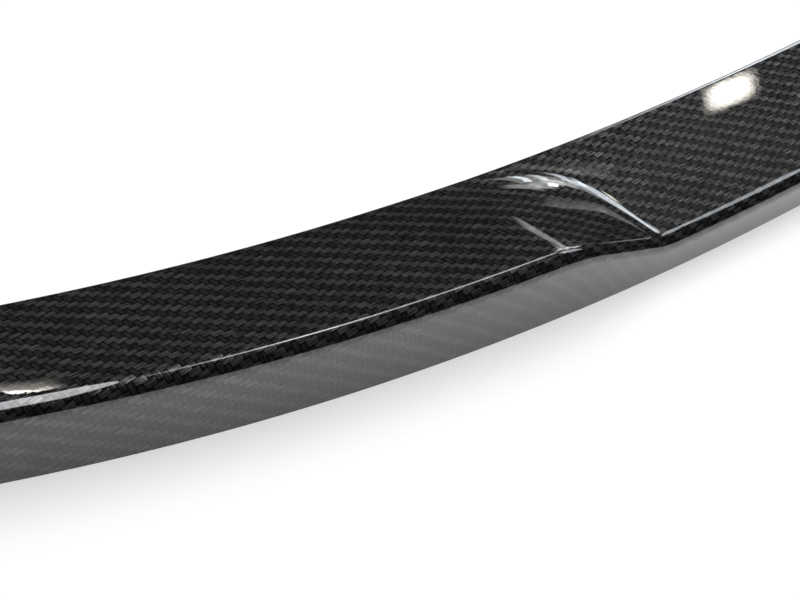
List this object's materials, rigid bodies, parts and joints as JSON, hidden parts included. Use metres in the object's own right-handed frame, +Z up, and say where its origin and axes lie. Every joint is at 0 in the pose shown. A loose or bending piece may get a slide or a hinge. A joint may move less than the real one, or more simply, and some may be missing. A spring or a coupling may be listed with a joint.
{
  "type": "car rear spoiler",
  "caption": "Boot-lid lip spoiler: a bowed glossy carbon-look blade with raised flanks, S-shaped steps down to a low middle, a rounded nose and an open hollow underside.",
  "frame": {"origin": "centre of the bounding box's base, in the plane of the rear face's bottom edge", "axes": "+X to the car's right along the part's width, +Y to the front of the car (leading edge), +Z up; the rear face looks to -Y"},
  "size_m": [1.14, 0.1726, 0.0275],
  "materials": {
    "laminate": "2 by 2 twill woven laminate under a high-gloss clear coat"
  },
  "bodies": {
    "root": {"spoiler": "laminate"}
  },
  "joints": []
}
